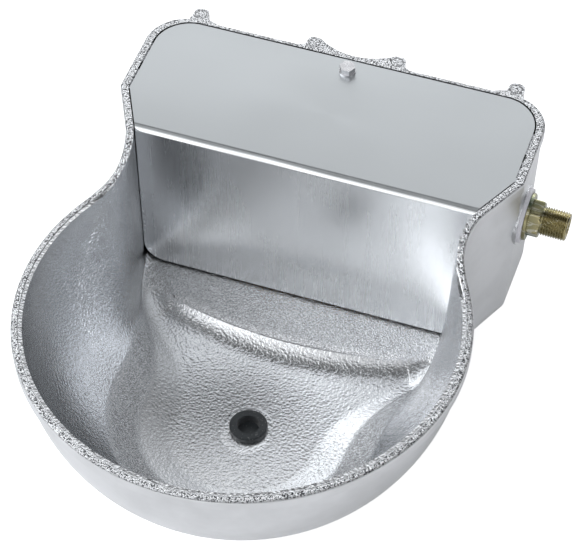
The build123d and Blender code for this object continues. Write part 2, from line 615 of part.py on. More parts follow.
pin_half = slot_half + CHEEK_THICKNESS
with BuildPart() as lever_pin:
    with BuildSketch(lever_side.offset(-pin_half)):
        Circle(PIN_DIAMETER / 2)
    extrude(amount=2 * pin_half + 3 * SPLIT_PIN_DIAMETER)
    with BuildSketch(lever_side.offset(-pin_half)):
        Circle(PIN_DIAMETER * 0.8)
    extrude(amount=-SPLIT_PIN_DIAMETER)
    with BuildSketch(rod.offset(0)):
        with Locations((-ARM_LENGTH, pin_half + 1.5 * SPLIT_PIN_DIAMETER)):
            Circle(SPLIT_PIN_DIAMETER / 2 + THREAD_FIT)
    extrude(amount=PIN_DIAMETER, both=True, mode=Mode.SUBTRACT)
write(lever_pin, "lever_pin")

with BuildPart() as split_pin:
    with BuildSketch(rod):
        with Locations((-ARM_LENGTH, pin_half + 1.5 * SPLIT_PIN_DIAMETER)):
            Circle(SPLIT_PIN_DIAMETER / 2)
    extrude(amount=-PIN_DIAMETER)
    extrude(to_extrude=split_pin.faces().sort_by(Axis(rod_point, rod.z_dir))[-1], amount=PIN_DIAMETER * 0.75)
    with BuildSketch(lever_side.offset(pin_half + 1.5 * SPLIT_PIN_DIAMETER)):
        with Locations((0, PIN_DIAMETER * 0.75 + 1.5 * SPLIT_PIN_DIAMETER)):
            Circle(2 * SPLIT_PIN_DIAMETER)
            Circle(SPLIT_PIN_DIAMETER, mode=Mode.SUBTRACT)
    extrude(amount=SPLIT_PIN_DIAMETER / 2, both=True)
write(split_pin, "split_pin")

# ---- float on its threaded rod ----
nut_top = eye_bottom + eye_height
nut_bottom = eye_bottom - NUT_THICKNESS
neck_top = nut_bottom - arm_top
float_top = neck_top - FLOAT_NECK_HEIGHT
with BuildPart() as float_body:
    with BuildSketch(rod.offset(float_top)):
        RectangleRounded(FLOAT_LENGTH, FLOAT_WIDTH, FLOAT_ROUND)
    extrude(amount=-FLOAT_HEIGHT)
    fillet(float_body.faces().group_by(Axis(rod_point, rod.z_dir))[0].edges(), FLOAT_ROUND * 0.6)
    fillet(float_body.faces().group_by(Axis(rod_point, rod.z_dir))[-1].edges(), FLOAT_ROUND * 0.6)
    with BuildSketch(rod.offset(float_top)):
        Circle(FLOAT_NECK_DIAMETER / 2)
    extrude(amount=FLOAT_NECK_HEIGHT)
    with BuildSketch(rod.offset(neck_top)):
        Circle(ROD_DIAMETER / 2 + THREAD_FIT)
    extrude(amount=-ROD_IN_FLOAT, mode=Mode.SUBTRACT)
write(float_body, "float_body")

with BuildPart() as float_rod:
    rod_top = nut_top + NUT_THICKNESS + ROD_DIAMETER / 2
    with BuildSketch(rod.offset(rod_top)):
        Circle(ROD_DIAMETER / 2)
    extrude(amount=neck_top - ROD_IN_FLOAT - rod_top)
write(float_rod, "float_rod")

with BuildPart() as float_nuts:
    for nut_z in (nut_top, nut_bottom):
        with BuildSketch(rod.offset(nut_z)):
            RegularPolygon(NUT_FLATS / 2, 6, major_radius=False)
            Circle(ROD_DIAMETER / 2 + THREAD_FIT, mode=Mode.SUBTRACT)
        extrude(amount=NUT_THICKNESS)
write(float_nuts, "float_nuts")

# ---- drain ----
with BuildPart() as drain_plug:
    plug_seat = BOWL_FLOOR_Z - DRAIN_FACE_DEPTH
    with BuildSketch(Plane.XY.offset(plug_seat)):
        with Locations((0, DRAIN_Y)):
            Circle(PLUG_FLANGE_DIAMETER / 2)
    extrude(amount=PLUG_FLANGE_THICKNESS)
    fillet(drain_plug.edges().sort_by(Axis.Z)[-1], PLUG_ROUND)
    with BuildSketch(Plane.XY.offset(plug_seat)):
        with Locations((0, DRAIN_Y)):
            Circle(DRAIN_HOLE / 2 - PLUG_PLAY)
    extrude(amount=-FLOOR_WALL + DRAIN_FACE_DEPTH)
    with BuildSketch(Plane.XY.offset(plug_seat + PLUG_FLANGE_THICKNESS)):
        with Locations((0, DRAIN_Y)):
            Circle(PLUG_SOCKET_DIAMETER / 2)
    extrude(amount=-PLUG_SOCKET_DEPTH, mode=Mode.SUBTRACT)
write(drain_plug, "drain_plug")
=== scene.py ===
import json
import math

import bpy
import numpy as np
from bpy.props import FloatProperty, FloatVectorProperty, PointerProperty
from bpy.types import Operator, Panel, PropertyGroup
from mathutils import Matrix, Vector


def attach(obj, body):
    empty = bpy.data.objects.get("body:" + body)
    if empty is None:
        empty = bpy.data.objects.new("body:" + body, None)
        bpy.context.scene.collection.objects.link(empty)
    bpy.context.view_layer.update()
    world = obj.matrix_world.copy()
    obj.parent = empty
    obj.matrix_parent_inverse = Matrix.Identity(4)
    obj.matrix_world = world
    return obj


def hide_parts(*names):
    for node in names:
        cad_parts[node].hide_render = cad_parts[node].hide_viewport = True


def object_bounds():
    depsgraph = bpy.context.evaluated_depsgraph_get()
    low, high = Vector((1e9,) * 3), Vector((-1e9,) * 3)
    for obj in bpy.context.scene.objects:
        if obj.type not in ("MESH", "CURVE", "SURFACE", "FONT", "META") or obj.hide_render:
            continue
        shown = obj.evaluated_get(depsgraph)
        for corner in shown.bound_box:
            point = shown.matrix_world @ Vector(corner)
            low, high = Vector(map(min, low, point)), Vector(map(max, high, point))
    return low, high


bl_info = {
    "name": "Livestock Drinking Bowl",
    "version": (1, 0, 0),
    "blender": (4, 5, 0),
    "location": "View3D > Sidebar > Drinking Bowl",
    "description": "Dresses a cast float drinking bowl for livestock in its metals and plastics",
    "category": "Add Mesh",
}

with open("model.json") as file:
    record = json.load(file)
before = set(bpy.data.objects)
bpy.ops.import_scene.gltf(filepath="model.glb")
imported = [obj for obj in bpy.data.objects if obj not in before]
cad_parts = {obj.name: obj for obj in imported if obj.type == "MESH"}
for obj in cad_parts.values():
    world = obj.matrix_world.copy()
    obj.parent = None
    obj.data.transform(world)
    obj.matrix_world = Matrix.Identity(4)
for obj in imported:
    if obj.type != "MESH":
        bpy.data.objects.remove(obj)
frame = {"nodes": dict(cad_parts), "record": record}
CAD_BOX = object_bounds()

# places on the part in metres and turns in radians, from the record where it has them
MOUNTS = {mount["name"]: mount for mount in frame["record"]["mounts"]}
JOINTS = {joint["name"]: joint for joint in frame["record"]["behaviour"]["joints"]}
THREAD_MIDDLE = 0.02175                             # along the inlet axis, from the side wall
OUTWARD = Vector(MOUNTS["water_inlet"]["axis"])     # the inlet axis, square to that wall
INLET_PLACE = tuple(Vector(MOUNTS["water_inlet"]["pos_m"]) - THREAD_MIDDLE * OUTWARD)
BOWL_MIDDLE_Y = -0.2435                             # the round bowl's middle
COVER_BOLT_PLACE, COVER_BOLT_TURN = (0.0, -0.026, 0.0237), (-0.0419, 0.0, 0.0)
ROD_PLACE, ROD_TURN = (-0.0062, -0.0715, -0.0542), (0.0, 0.183, 0.0)
PIN_PLACE, PIN_TURN = tuple(JOINTS["float_swing"]["pos_m"]), (math.pi / 2, 0.0, 0.0)
ALONG_X = (0.0, math.pi / 2, 0.0)                   # a turn that lays Z along X
FULL_TURN = 6.2832


# ---------------------------------------------------------------------------------------------
# Nodes, by name and by number
# ---------------------------------------------------------------------------------------------

def feed(tree, target, value):
    """Links a socket into the target socket, or writes a plain value on it."""
    if isinstance(value, bpy.types.NodeSocket):
        tree.links.new(value, target)
    else:
        target.default_value = value


def put(tree, kind, inputs=None, **settings):
    """Adds a node, sets its menus and ticks, and feeds its inputs, named or numbered."""
    made = tree.nodes.new(kind)
    for name, value in settings.items():
        setattr(made, name, value)
    for name, value in (inputs or {}).items():
        feed(tree, made.inputs[name], value)
    return made


def sums(tree, operation, *terms, clamp=False):
    """A Math node on one, two or three terms."""
    made = put(tree, "ShaderNodeMath", operation=operation, use_clamp=clamp)
    for place, term in enumerate(terms):
        feed(tree, made.inputs[place], term)
    return made.outputs[0]


def product(tree, first, *others):
    """All the terms multiplied."""
    for term in others:
        first = sums(tree, "MULTIPLY", first, term)
    return first


def reach(tree, across, along):
    """How far a point is from the origin of two directions."""
    squared = product(tree, along, along)
    return sums(tree, "SQRT", sums(tree, "MULTIPLY_ADD", across, across, squared))


def step_between(tree, value, low, high):
    """0 below low, 1 above high and smooth between them."""
    made = put(tree, "ShaderNodeMapRange", {"Value": value, "From Min": low, "From Max": high},
               interpolation_type="SMOOTHSTEP", clamp=True)
    return made.outputs["Result"]


def ramp(tree, value, low, high, to_low, to_high):
    """Carries a value from one range to another in a straight line, held at both ends."""
    made = put(tree, "ShaderNodeMapRange", {"Value": value, "From Min": low, "From Max": high,
                                            "To Min": to_low, "To Max": to_high}, clamp=True)
    return made.outputs["Result"]


def blended(tree, share, first, second):
    """A colour between two colours. A Mix node has its colours on inputs 6 and 7 and output 2."""
    return put(tree, "ShaderNodeMix", {0: share, 6: first, 7: second}, data_type="RGBA").outputs[2]


def dimmed(colour, share):
    """The same colour with its red, green and blue taken times a share."""
    return tuple(share * part for part in colour[:3]) + (1.0,)


def apart(tree, vector):
    """The three parts of a vector."""
    return put(tree, "ShaderNodeSeparateXYZ", {"Vector": vector}).outputs


def mapped(tree, vector, **settings):
    """The same points, moved, turned or stretched by a Mapping node."""
    made = put(tree, "ShaderNodeMapping", {"Vector": vector})
    for name, value in settings.items():
        made.inputs[name.capitalize()].default_value = value
    return made.outputs[0]


def measured_from(tree, vector, place):
    """The same points, counted from a place."""
    return mapped(tree, vector, location=tuple(-part for part in place))


def noise(tree, vector, scale, detail=2.0, roughness=0.5, distortion=0.0):
    """Cloudy noise from 0 to 1."""
    made = put(tree, "ShaderNodeTexNoise", {"Vector": vector, "Scale": scale, "Detail": detail,
                                            "Roughness": roughness, "Distortion": distortion})
    return made.outputs["Fac"]


NUMBER = "NodeSocketFloat"
VECTOR = "NodeSocketVector"


def new_group(name, inputs, outputs):
    """A group of nodes: inputs are (name, kind, value), outputs are names of number sockets."""
    tree = bpy.data.node_groups.new(name, "ShaderNodeTree")
    for label, kind, value in inputs:
        socket = tree.interface.new_socket(name=label, in_out="INPUT", socket_type=kind)
        if value is not None:
            socket.default_value = value
    for label in outputs:
        tree.interface.new_socket(name=label, in_out="OUTPUT", socket_type=NUMBER)
    given, out = tree.nodes.new("NodeGroupInput"), tree.nodes.new("NodeGroupOutput")
    return tree, given.outputs, out.inputs


def placed(tree, group, inputs):
    """A shared group set into a material with its own values."""
    made = tree.nodes.new("ShaderNodeGroup")
    made.node_tree = bpy.data.node_groups[group]
    for name, value in inputs.items():
        feed(tree, made.inputs[name], value)
    return made.outputs


CELL_WARP = (0.0016, 0.0016, 0.0016)    # how far the skin's cells are pushed about, in metres
MOTTLE_SCALE = 28.0                     # noise scales are in waves per metre
UNEVEN_SCALE = 300.0
SMUDGE_SCALE = 17.0
DUST_SCALE = 900.0
SCRATCH_STRETCH, SCRATCH_TURN = (34.0, 210.0, 120.0), (0.3, 0.5, 0.9)
SCRATCH_SHARE = 90.0                    # width of the scratch's band of noise, per metre of width


def make_cast_skin():
    """Skin of poured metal: round-edged dimples from crowded cells, with fine sand grain over them.

    Height is the relief and Tone a slow mottling from 0 to 1.
    """
    tree, given, out = new_group(
        "cast skin",
        [("Vector", VECTOR, None), ("Dimple Size", NUMBER, 0.0025), ("Grain Size", NUMBER, 0.0007),
         ("Grain Share", NUMBER, 0.35)],
        ["Height", "Tone"])
    spot = given["Vector"]
    across = sums(tree, "DIVIDE", 1.0, given["Dimple Size"])
    fine = sums(tree, "DIVIDE", 1.0, given["Grain Size"])
    warp = put(tree, "ShaderNodeTexNoise", {"Vector": spot, "Scale": across, "Detail": 1.0})
    pushed = put(tree, "ShaderNodeVectorMath", {0: warp.outputs["Color"], 1: CELL_WARP},
                 operation="MULTIPLY")
    where = put(tree, "ShaderNodeVectorMath", {0: spot, 1: pushed.outputs[0]}, operation="ADD")
    cells = put(tree, "ShaderNodeTexVoronoi",
                {"Vector": where.outputs[0], "Scale": across, "Smoothness": 0.8},
                feature="SMOOTH_F1")
    waves = product(tree, noise(tree, spot, across, detail=1.0), 0.7)
    grain = noise(tree, spot, fine, detail=1.5, roughness=0.6)
    dimples = sums(tree, "MULTIPLY_ADD", cells.outputs["Distance"], 0.6, waves)
    feed(tree, out["Height"], sums(tree, "MULTIPLY_ADD", grain, given["Grain Share"], dimples))
    slow = noise(tree, spot, MOTTLE_SCALE, detail=3.0, roughness=0.6)
    feed(tree, out["Tone"], step_between(tree, slow, 0.3, 0.7))


def make_brushing():
    """Brushed grain: noise drawn out along Z of the given vector, in broad bands and hair lines."""
    tree, given, out = new_group(
        "brushing",
        [("Vector", VECTOR, None), ("Line Width", NUMBER, 0.0004), ("Line Length", NUMBER, 0.06)],
        ["Height", "Tone"])
    x, y, z = apart(tree, given["Vector"])
    across = sums(tree, "DIVIDE", 1.0, given["Line Width"])
    along = sums(tree, "DIVIDE", 1.0, given["Line Length"])
    line = put(tree, "ShaderNodeCombineXYZ",
               {0: product(tree, x, across), 1: product(tree, y, across),
                2: product(tree, z, along)}).outputs[0]
    hair = noise(tree, line, 1.0, detail=3.0, roughness=0.7)
    broad = noise(tree, line, 0.09, detail=2.0)
    feed(tree, out["Height"], hair)
    feed(tree, out["Tone"], sums(tree, "MULTIPLY_ADD", hair, 0.5, product(tree, broad, 0.5)))


def make_lathe_lines():
    """Fine turning lines: rings round Z of the given vector, uneven by a little noise."""
    tree, given, out = new_group(
        "lathe lines", [("Vector", VECTOR, None), ("Pitch", NUMBER, 0.0003)], ["Height"])
    x, y, z = apart(tree, given["Vector"])
    turns = sums(tree, "DIVIDE", sums(tree, "ADD", reach(tree, x, y), z), given["Pitch"])
    uneven = product(tree, noise(tree, given["Vector"], UNEVEN_SCALE, detail=2.0), 5.0)
    wave = sums(tree, "SINE", sums(tree, "MULTIPLY_ADD", turns, FULL_TURN, uneven))
    feed(tree, out["Height"], sums(tree, "MULTIPLY_ADD", wave, 0.5, 0.5))


def make_wear():
    """Handling marks: Smudge is a slow haze, Scratch thin random scores, Dust settled specks."""
    tree, given, out = new_group(
        "handling marks", [("Vector", VECTOR, None), ("Scratch Width", NUMBER, 0.0002)],
        ["Smudge", "Scratch", "Dust"])
    spot = given["Vector"]
    slow = noise(tree, spot, SMUDGE_SCALE, detail=4.0, roughness=0.62, distortion=0.4)
    feed(tree, out["Smudge"], step_between(tree, slow, 0.38, 0.68))
    bent = mapped(tree, spot, scale=SCRATCH_STRETCH, rotation=SCRATCH_TURN)
    score = noise(tree, bent, 1.0, detail=1.0, distortion=0.3)
    middle = sums(tree, "ABSOLUTE", sums(tree, "SUBTRACT", score, 0.5))
    thin = product(tree, given["Scratch Width"], SCRATCH_SHARE)
    feed(tree, out["Scratch"], sums(tree, "LESS_THAN", middle, thin))
    specks = noise(tree, spot, DUST_SCALE, detail=1.0)
    feed(tree, out["Dust"], step_between(tree, specks, 0.66, 0.74))


def make_shared_groups():
    """Builds the node groups that the finishes share."""
    for build in (make_cast_skin, make_brushing, make_lathe_lines, make_wear):
        build()


# ---------------------------------------------------------------------------------------------
# Finishes
# ---------------------------------------------------------------------------------------------

def new_finish(name, slot_settings):
    """A material with one Principled BSDF. Plain values go on its own sockets."""
    material = bpy.data.materials.new(name)
    material.use_nodes = True
    tree = material.node_tree
    tree.nodes.clear()
    skin = put(tree, "ShaderNodeBsdfPrincipled", slot_settings)
    put(tree, "ShaderNodeOutputMaterial", {"Surface": skin.outputs[0]})
    coords = tree.nodes.new("ShaderNodeTexCoord")
    return material, tree, skin.inputs, coords.outputs


def bumped(tree, height, depth, normal=None):
    """A normal from a relief of real depth in metres, on top of another one if that is given."""
    inputs = {"Strength": 1.0, "Distance": depth, "Height": height}
    if normal is not None:
        inputs["Normal"] = normal
    return put(tree, "ShaderNodeBump", inputs).outputs[0]


# where the casting's surfaces start and are full, in metres or as parts of a normal
FACES_MIDDLE = (-0.005, 0.01)       # how much a face looks at the line that the inside walls face
FACES_UP = (0.55, 0.85)
RIM_LEVEL = (-0.0075, -0.0045)
UNWORN_RIM = (0.1468, 0.1478)       # away from the bowl's middle
BELOW_LEDGE_TOP = (-0.104, -0.110)
ABOVE_LEDGE_FOOT = (-0.1215, -0.1175)
LEDGE_FACES_UP = (0.3, 0.7)
LOW_CORNERS = (-0.104, -0.124)
DRAIN_SEAT_INNER, DRAIN_SEAT_OUTER = (0.0118, 0.0124), (0.0175, 0.0165)
PIT_RELIEF = (1.08, 0.96)
INSIDE_MIDDLE_Y = -0.19

# shares from 0 to 1 of the casting's effects
DIMPLED_GRAIN, SANDY_GRAIN, SANDY_CELLS = 0.3, 0.9, 0.6
OUTSIDE_RELIEF, LEDGE_SAND = 0.25, 0.8
OUTSIDE_ROUGHER, SMUDGE_ROUGHER = 0.16, 0.04
INSIDE_OXIDE, RIM_PITS, LEDGE_PITS, RING_INK = 0.8, 0.9, 0.3, 0.7

# the ring on top of each lug, in metres
RING_BEFORE_MOUNT, RING_RADIUS, RING_LINE = 0.0056, 0.0041, (0.0005, 0.0002)


def lug_ring(tree, px, py, mount):
    """The thin ring that a pattern's pin leaves on top of a lug, on both sides of the middle."""
    half_spacing = mount["dims"]["spacing_x_mm"] / 2000
    to_lug = sums(tree, "SUBTRACT", sums(tree, "ABSOLUTE", px), half_spacing)
    to_back = sums(tree, "SUBTRACT", py, mount["pos_m"][1] - RING_BEFORE_MOUNT)
    off_ring = sums(tree, "SUBTRACT", reach(tree, to_lug, to_back), RING_RADIUS)
    return step_between(tree, sums(tree, "ABSOLUTE", off_ring), *RING_LINE)


def cast_aluminium(look):
    """Cast aluminium: hammered inside, finer outside, sandy on the ledge and the outer rim."""
    material, tree, skin, coords = new_finish("cast_aluminium_finish", {"Metallic": 1.0})
    spot, facing = coords["Object"], coords["Normal"]
    px, py, pz = apart(tree, spot)
    nx, ny, nz = apart(tree, facing)

    # the inside faces the middle of the bowl or looks up, the outside faces away
    to_middle = product(tree, ny, sums(tree, "SUBTRACT", INSIDE_MIDDLE_Y, py))
    inward = sums(tree, "MULTIPLY_ADD", nx, product(tree, px, -1.0), to_middle)
    inside = step_between(tree, sums(tree, "MULTIPLY_ADD", nz, 0.05, inward), *FACES_MIDDLE)
    outside = sums(tree, "SUBTRACT", 1.0, inside)
    # the rim's inner part is worn smooth by the animals' necks
    rim = product(tree, step_between(tree, pz, *RIM_LEVEL), step_between(tree, nz, *FACES_UP))
    away = reach(tree, px, sums(tree, "SUBTRACT", py, BOWL_MIDDLE_Y))
    outer_part = product(tree, rim, step_between(tree, away, *UNWORN_RIM))
    on_ledge = product(tree, step_between(tree, pz, *BELOW_LEDGE_TOP),
                       step_between(tree, pz, *ABOVE_LEDGE_FOOT),
                       step_between(tree, nz, *LEDGE_FACES_UP))

    # relief
    coarse = placed(tree, "cast skin", {"Vector": spot, "Dimple Size": look.dimple_size,
                                        "Grain Size": look.grain_size,
                                        "Grain Share": DIMPLED_GRAIN})
    sand = placed(tree, "cast skin", {"Vector": spot, "Grain Size": look.grain_size,
                                      "Dimple Size": look.dimple_size * SANDY_CELLS,
                                      "Grain Share": SANDY_GRAIN})
    strong = sums(tree, "MULTIPLY_ADD", inside, 1.0 - OUTSIDE_RELIEF, OUTSIDE_RELIEF)
    plain = product(tree, coarse["Height"], strong)
    sandy = sums(tree, "MAXIMUM", outer_part, product(tree, on_ledge, LEDGE_SAND))
    rougher = product(tree, sand["Height"], sandy)
    height = sums(tree, "MULTIPLY_ADD", rougher, look.sand_relief, plain)
    # the floor is dished round the drain: it rises as 1 - exp(-(distance / reach)^2 / 2)
    spread = sums(tree, "DIVIDE", away, look.dish_reach)
    fall = sums(tree, "EXPONENT", product(tree, spread, spread, -0.5))
    sunk = product(tree, sums(tree, "SUBTRACT", 1.0, fall), look.dish_depth)
    # low on the inside the shading leans upward, as if the solid's sharp corners were rounded
    leaning = product(tree, step_between(tree, pz, *LOW_CORNERS), inside, look.lean)
    lift = put(tree, "ShaderNodeCombineXYZ", {2: leaning})
    leant = put(tree, "ShaderNodeVectorMath", {0: facing, 1: lift.outputs[0]}, operation="ADD")
    eased = put(tree, "ShaderNodeVectorMath", {0: leant.outputs[0]}, operation="NORMALIZE")
    dished = bumped(tree, sunk, 1.0, eased.outputs[0])
    feed(tree, skin["Normal"], bumped(tree, height, look.dimple_depth, dished))

    # gloss
    marks = placed(tree, "handling marks", {"Vector": spot})
    rough = ramp(tree, coarse["Tone"], 0.0, 1.0, look.roughness * 0.85, look.roughness * 1.15)
    rough = sums(tree, "MULTIPLY_ADD", outside, OUTSIDE_ROUGHER, rough)
    rough = sums(tree, "MULTIPLY_ADD", marks["Smudge"], SMUDGE_ROUGHER, rough)
    feed(tree, skin["Roughness"], rough)

    # colour: oxide on the inside and the rim but not on the machined seat, then pits and rings
    poured = blended(tree, coarse["Tone"], dimmed(look.metal, 0.9), tuple(look.metal))
    aged = sums(tree, "MAXIMUM", rim, product(tree, inside, INSIDE_OXIDE))
    drain_seat = product(tree, step_between(tree, away, *DRAIN_SEAT_INNER),
                         step_between(tree, away, *DRAIN_SEAT_OUTER))
    aged = product(tree, aged, sums(tree, "SUBTRACT", 1.0, drain_seat))
    body = blended(tree, aged, poured, tuple(look.oxide))
    speckled = sums(tree, "MULTIPLY_ADD", outer_part, RIM_PITS, product(tree, on_ledge, LEDGE_PITS))
    pitted = product(tree, step_between(tree, sand["Height"], *PIT_RELIEF), speckled)
    rings = [lug_ring(tree, px, py, MOUNTS[name]) for name in ("pipe_clamp", "wall_bolts")]
    ringed = product(tree, rim, RING_INK, sums(tree, "MAXIMUM", *rings))
    worn = sums(tree, "MAXIMUM", pitted, ringed)
    feed(tree, skin["Base Color"], blended(tree, worn, body, tuple(look.rim_dark)))
    return material


# the cover: its fold line and brush strokes in metres, parts of a normal, and shares
FOLD_LEVEL, FOLD_LINE, FOLD_DEPTH = 0.0125, (0.0009, 0.0002), 2.0    # depth against the brushing
UPRIGHT_STROKE, LID_STROKE = 0.07, 0.09
LID_FACES_UP, FRONT_FACES = (0.6, 0.9), (0.3, 0.1)
WAVE_STRETCH, LID_WAVE = (9.0, 9.0, 5.0), 0.25
# the last of these is how far the lid takes its darker steel colour, a painted shade
LID_ROUGHER, SHEET_SMUDGE, LID_SHADE_SHARE = 0.07, 0.03, 0.9


def brushed_sheet(look):
    """Satin stainless sheet: brushed up and down on the deflector, along the lid on top."""
    material, tree, skin, coords = new_finish("stainless_sheet_finish",
                                              {"Metallic": 1.0, "Anisotropic": 0.35})
    spot = coords["Object"]
    pz, nz = apart(tree, spot)["Z"], apart(tree, coords["Normal"])["Z"]
    lid = step_between(tree, nz, *LID_FACES_UP)
    upright = placed(tree, "brushing", {"Vector": spot, "Line Width": look.line_width,
                                        "Line Length": UPRIGHT_STROKE})
    along = placed(tree, "brushing", {"Vector": mapped(tree, spot, rotation=ALONG_X),
                                      "Line Width": look.line_width, "Line Length": LID_STROKE})
    # a Mix node has its numbers on inputs 2 and 3
    lines = put(tree, "ShaderNodeMix", {0: lid, 2: upright["Height"], 3: along["Height"]},
                data_type="FLOAT").outputs[0]
    # press line of the fold, a little below the lid
    from_fold = sums(tree, "ABSOLUTE", sums(tree, "SUBTRACT", pz, FOLD_LEVEL))
    fold = product(tree, step_between(tree, from_fold, *FOLD_LINE),
                   step_between(tree, nz, *FRONT_FACES), FOLD_DEPTH)
    # the sheet is never quite flat: slow rolling waves bend what it mirrors
    rolling = product(tree, noise(tree, mapped(tree, spot, scale=WAVE_STRETCH), 1.0, detail=1.0),
                      ramp(tree, nz, 0.2, 0.9, 1.0, LID_WAVE))
    wavy = bumped(tree, rolling, look.sheet_wave)
    feed(tree, skin["Normal"],
         bumped(tree, sums(tree, "SUBTRACT", lines, fold), look.line_depth, wavy))
    marks = placed(tree, "handling marks", {"Vector": spot})
    rough = ramp(tree, upright["Tone"], 0.3, 0.7, look.roughness - 0.03, look.roughness + 0.04)
    rough = sums(tree, "MULTIPLY_ADD", lid, LID_ROUGHER, rough)
    rough = sums(tree, "MULTIPLY_ADD", marks["Smudge"], SHEET_SMUDGE, rough)
    feed(tree, skin["Roughness"], rough)
    front = blended(tree, lines, dimmed(look.steel, 0.93), tuple(look.steel))
    # painted shade: the lid is the same sheet as the deflector but takes a darker copy of the steel
    # colour
    shadier = product(tree, lid, LID_SHADE_SHARE)
    feed(tree, skin["Base Color"], blended(tree, shadier, front, tuple(look.lid)))
    return material


BARE_SCRATCH = (0.9, 0.9, 0.86, 1.0)
PALE_DUST = (0.75, 0.73, 0.7, 1.0)
BETWEEN_WIRES = (0.02, 0.02, 0.02, 1.0)
LATHE_PITCH = 0.0004
LATHE_DEPTH = 0.00002
LEATHER_DEPTH = 0.00003
STRAINER_RADIUS = 0.0064


def turned_metal(name, colour, shade, roughness, middle, turn, depth=LATHE_DEPTH):
    """Turned or stamped metal with fine rings round its own axis and darker, tarnished patches."""
    material, tree, skin, coords = new_finish(name, {"Metallic": 1.0})
    spot = coords["Object"]
    lined = mapped(tree, measured_from(tree, spot, middle), rotation=turn)
    rings = placed(tree, "lathe lines", {"Vector": lined, "Pitch": LATHE_PITCH})
    marks = placed(tree, "handling marks", {"Vector": spot})
    feed(tree, skin["Normal"], bumped(tree, rings["Height"], depth))
    patchy = blended(tree, marks["Smudge"], colour, shade)
    scored = product(tree, marks["Scratch"], 0.3)
    feed(tree, skin["Base Color"], blended(tree, scored, patchy, BARE_SCRATCH))
    feed(tree, skin["Roughness"],
         ramp(tree, marks["Smudge"], 0.0, 1.0, roughness, roughness + 0.16))
    return material


def moulded(name, colour, shade, roughness, grain=0.0005, sheen=0.0):
    """Moulded plastic or rubber: fine leathery grain, slow flow marks and specks of dust."""
    material, tree, skin, coords = new_finish(name, {"Metallic": 0.0, "IOR": 1.49,
                                                     "Sheen Weight": sheen})
    spot = coords["Object"]
    leather = placed(tree, "cast skin", {"Vector": spot, "Dimple Size": grain * 3.0,
                                         "Grain Size": grain, "Grain Share": 0.8})
    marks = placed(tree, "handling marks", {"Vector": spot})
    feed(tree, skin["Normal"], bumped(tree, leather["Height"], LEATHER_DEPTH))
    body = blended(tree, leather["Tone"], shade, colour)
    dusty = product(tree, marks["Dust"], 0.18)
    feed(tree, skin["Base Color"], blended(tree, dusty, body, PALE_DUST))
    feed(tree, skin["Roughness"],
         ramp(tree, marks["Smudge"], 0.0, 1.0, roughness - 0.05, roughness + 0.1))
    return material


def woven_wire(name, colour, pitch):
    """Woven wire cloth round the inlet axis: two crossing waves of wires, dark between them."""
    material, tree, skin, coords = new_finish(name, {"Metallic": 1.0, "Roughness": 0.35})
    x, y, z = apart(tree, measured_from(tree, coords["Object"], INLET_PLACE))
    around = product(tree, sums(tree, "ARCTAN2", y, z), STRAINER_RADIUS)
    waves = [sums(tree, "SINE", product(tree, way, FULL_TURN / pitch)) for way in (x, around)]
    weave = sums(tree, "MAXIMUM", *waves)
    feed(tree, skin["Normal"], bumped(tree, weave, pitch * 0.25))
    shown = step_between(tree, weave, -0.1, 0.35)
    feed(tree, skin["Base Color"], blended(tree, shown, BETWEEN_WIRES, colour))
    return material


def wear_finish(material, *nodes):
    """Puts a finish on every slot of the CAD nodes."""
    for node in nodes:
        piece = frame["nodes"][node]
        piece.data.materials.clear()
        piece.data.materials.append(material)


# ---------------------------------------------------------------------------------------------
# Surfaces
# ---------------------------------------------------------------------------------------------

def grid_mesh(name, points, closed):
    """A mesh from a grid of points, shape (along, across, 3), joined up both ways if closed."""
    along, across = points.shape[:2]
    numbers = np.arange(along * across).reshape(along, across)
    ahead = np.roll(numbers, -1, axis=0)
    corners = (numbers, np.roll(numbers, -1, axis=1), np.roll(ahead, -1, axis=1), ahead)
    quads = np.stack(corners, -1)
    if not closed:
        quads = quads[:-1, :-1]
    quads = quads.reshape(-1, 4)
    mesh = bpy.data.meshes.new(name)
    mesh.vertices.add(along * across)
    mesh.vertices.foreach_set("co", points.reshape(-1).astype(np.float32))
    mesh.loops.add(quads.size)
    mesh.loops.foreach_set("vertex_index", quads.reshape(-1).astype(np.int32))
    mesh.polygons.add(len(quads))
    mesh.polygons.foreach_set("loop_start", np.arange(0, quads.size, 4, dtype=np.int32))
    mesh.update(calc_edges=True)
    mesh.validate()
    return mesh


def new_object(name, data):
    """An object in the scene."""
    made = bpy.data.objects.new(name, data)
    bpy.context.scene.collection.objects.link(made)
    return made


def new_piece(name, mesh, body, material, hard_degrees):
    """A smoothly shaded piece that rides on a body, hard where it turns by more than an angle."""
    piece = new_object(name, mesh)
    mesh.materials.append(material)
    mesh.polygons.foreach_set("use_smooth", np.full(len(mesh.polygons), True))
    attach(piece, body)
    mesh.set_sharp_from_angle(angle=math.radians(hard_degrees))
    return piece


# the inlet nipple in metres, along its axis from the side wall and out from that axis
CREST, BORE = 0.0104775, 0.0065
THREAD_END, THREAD_START, HEX_START, FLANGE_START, BACK_END = 0.032, 0.013, 0.005, 0.0025, -0.0237
ENTRY = 0.0016                      # how far the thread's first turn is below the crest
NECK = CREST - 0.0013               # between the thread and the hexagon
FLANGE, SHOULDER = 0.017, 0.0150
HALF_FLATS, HALF_CORNERS, CHAMFER_EDGE, CHAMFER_SLOPE = 0.012, 0.01365, 0.0122, 1.7
LEAD_IN = 0.0015                    # over which the thread fades in at both ends
POINTS_AROUND, ROWS_PER_TURN, BACK_ROWS, BORE_ROWS = 144, 14, 90, 12
PLAIN, THREADED, HEXAGONAL = range(3)


